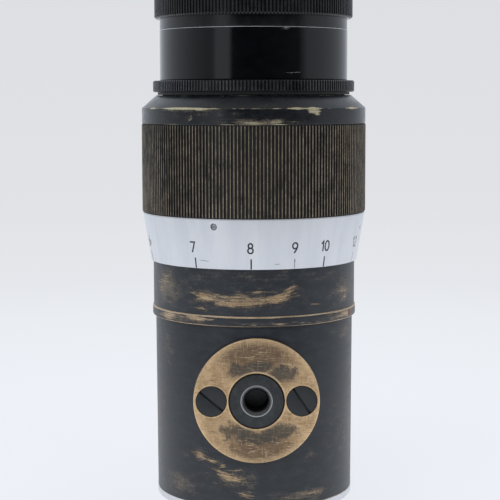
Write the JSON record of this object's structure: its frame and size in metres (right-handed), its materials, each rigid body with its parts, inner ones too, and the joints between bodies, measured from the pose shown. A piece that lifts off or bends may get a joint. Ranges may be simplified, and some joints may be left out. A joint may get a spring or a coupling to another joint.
{
  "type": "long-focus camera lens",
  "caption": "Black-painted brass long-focus lens on a screw flange, with a tripod boss, a chrome distance scale, a fluted focusing grip and an iris ring.",
  "frame": {"origin": "centre of the rear seating face of the flange ring", "axes": "+Z along the optical axis towards the front of the lens, -Y towards the tripod socket"},
  "size_m": [0.0542, 0.0542, 0.131],
  "materials": {
    "black_paint": "satin",
    "black_matt": "matte",
    "raw_brass": "worn",
    "inner_brass": "satin",
    "chrome": "satin",
    "steel": "satin",
    "dark_metal": "satin",
    "blade_steel": "satin",
    "red_enamel": "gloss",
    "optical_glass": "polished"
  },
  "bodies": {
    "rear_mount": {"flange_ring": "chrome", "flange_screws": "chrome", "rear_barrel": "black_paint", "rear_baffle": "black_matt", "tripod_plate": "raw_brass", "tripod_bush": "dark_metal", "tripod_thread": "steel", "tripod_screws": "dark_metal", "index_band": "black_paint", "red_dot": "red_enamel", "guide_sleeve": "black_paint", "guide_key": "steel"},
    "head": {"head_barrel": "black_matt", "focus_stop": "steel", "thrust_ring": "inner_brass", "rear_cell": "black_matt", "cemented_front": "optical_glass", "cemented_rear": "optical_glass", "rear_retainer": "black_matt", "front_cell": "black_matt", "middle_element": "optical_glass", "cell_spacer": "black_matt", "front_element": "optical_glass", "front_retainer": "black_matt", "front_bezel": "black_matt", "front_tube": "black_paint", "front_ring": "black_paint", "iris_base": "black_matt", "iris_cover": "black_matt"},
    "focus_ring": {"scale_ring": "chrome", "scale_screws": "steel", "grip_ring": "black_paint", "cone_ring": "black_paint", "helicoid_nut": "inner_brass"},
    "aperture_control": {"aperture_ring": "black_paint", "aperture_pin": "steel", "iris_cam": "inner_brass"},
    "rangefinder_cam": {"rf_cam": "inner_brass"},
    "blade_01": {"iris_blade_01": "blade_steel"},
    "blade_02": {"iris_blade_02": "blade_steel"},
    "blade_03": {"iris_blade_03": "blade_steel"},
    "blade_04": {"iris_blade_04": "blade_steel"},
    "blade_05": {"iris_blade_05": "blade_steel"},
    "blade_06": {"iris_blade_06": "blade_steel"},
    "blade_07": {"iris_blade_07": "blade_steel"},
    "blade_08": {"iris_blade_08": "blade_steel"},
    "blade_09": {"iris_blade_09": "blade_steel"},
    "blade_10": {"iris_blade_10": "blade_steel"}
  },
  "joints": [
    {"name": "focus_turn", "type": "hinge", "parent": "head", "child": "focus_ring", "pos_m": [0, 0, 0.08], "axis": [0, 0, 1], "range_deg": [0, 327]},
    {"name": "head_slide", "type": "slide", "parent": "rear_mount", "child": "head", "axis": [0, 0, 1], "range_m": [0, 0.01463]},
    {"name": "cam_slide", "type": "slide", "parent": "rear_mount", "child": "rangefinder_cam", "axis": [0, 0, 1], "range_m": [0, 0.00185]},
    {"name": "aperture_turn", "type": "hinge", "parent": "head", "child": "aperture_control", "pos_m": [0, 0, 0.0994], "axis": [0, 0, 1], "range_deg": [0, 60]},
    {"name": "blade_01_turn", "type": "hinge", "parent": "head", "child": "blade_01", "pos_m": [0.0174, 0, 0.098], "axis": [0, 0, 1], "range_deg": [0, 39.7]},
    {"name": "blade_02_turn", "type": "hinge", "parent": "head", "child": "blade_02", "pos_m": [0.01408, 0.01023, 0.098], "axis": [0, 0, 1], "range_deg": [0, 39.7]},
    {"name": "blade_03_turn", "type": "hinge", "parent": "head", "child": "blade_03", "pos_m": [0.00538, 0.01655, 0.098], "axis": [0, 0, 1], "range_deg": [0, 39.7]},
    {"name": "blade_04_turn", "type": "hinge", "parent": "head", "child": "blade_04", "pos_m": [-0.00538, 0.01655, 0.098], "axis": [0, 0, 1], "range_deg": [0, 39.7]},
    {"name": "blade_05_turn", "type": "hinge", "parent": "head", "child": "blade_05", "pos_m": [-0.01408, 0.01023, 0.098], "axis": [0, 0, 1], "range_deg": [0, 39.7]},
    {"name": "blade_06_turn", "type": "hinge", "parent": "head", "child": "blade_06", "pos_m": [-0.0174, 0, 0.098], "axis": [0, 0, 1], "range_deg": [0, 39.7]},
    {"name": "blade_07_turn", "type": "hinge", "parent": "head", "child": "blade_07", "pos_m": [-0.01408, -0.01023, 0.098], "axis": [0, 0, 1], "range_deg": [0, 39.7]},
    {"name": "blade_08_turn", "type": "hinge", "parent": "head", "child": "blade_08", "pos_m": [-0.00538, -0.01655, 0.098], "axis": [0, 0, 1], "range_deg": [0, 39.7]},
    {"name": "blade_09_turn", "type": "hinge", "parent": "head", "child": "blade_09", "pos_m": [0.00538, -0.01655, 0.098], "axis": [0, 0, 1], "range_deg": [0, 39.7]},
    {"name": "blade_10_turn", "type": "hinge", "parent": "head", "child": "blade_10", "pos_m": [0.01408, -0.01023, 0.098], "axis": [0, 0, 1], "range_deg": [0, 39.7]}
  ],
  "couplings": [
    {"joint": "head_slide", "follows": "focus_turn", "m_per_rad": 0.0025459},
    {"joint": "cam_slide", "follows": "focus_turn", "m_per_rad": 0.00031539},
    {"joint": "blade_01_turn", "follows": "aperture_turn", "ratio": 0.66},
    {"joint": "blade_02_turn", "follows": "aperture_turn", "ratio": 0.66},
    {"joint": "blade_03_turn", "follows": "aperture_turn", "ratio": 0.66},
    {"joint": "blade_04_turn", "follows": "aperture_turn", "ratio": 0.66},
    {"joint": "blade_05_turn", "follows": "aperture_turn", "ratio": 0.66},
    {"joint": "blade_06_turn", "follows": "aperture_turn", "ratio": 0.66},
    {"joint": "blade_07_turn", "follows": "aperture_turn", "ratio": 0.66},
    {"joint": "blade_08_turn", "follows": "aperture_turn", "ratio": 0.66},
    {"joint": "blade_09_turn", "follows": "aperture_turn", "ratio": 0.66},
    {"joint": "blade_10_turn", "follows": "aperture_turn", "ratio": 0.66}
  ]
}
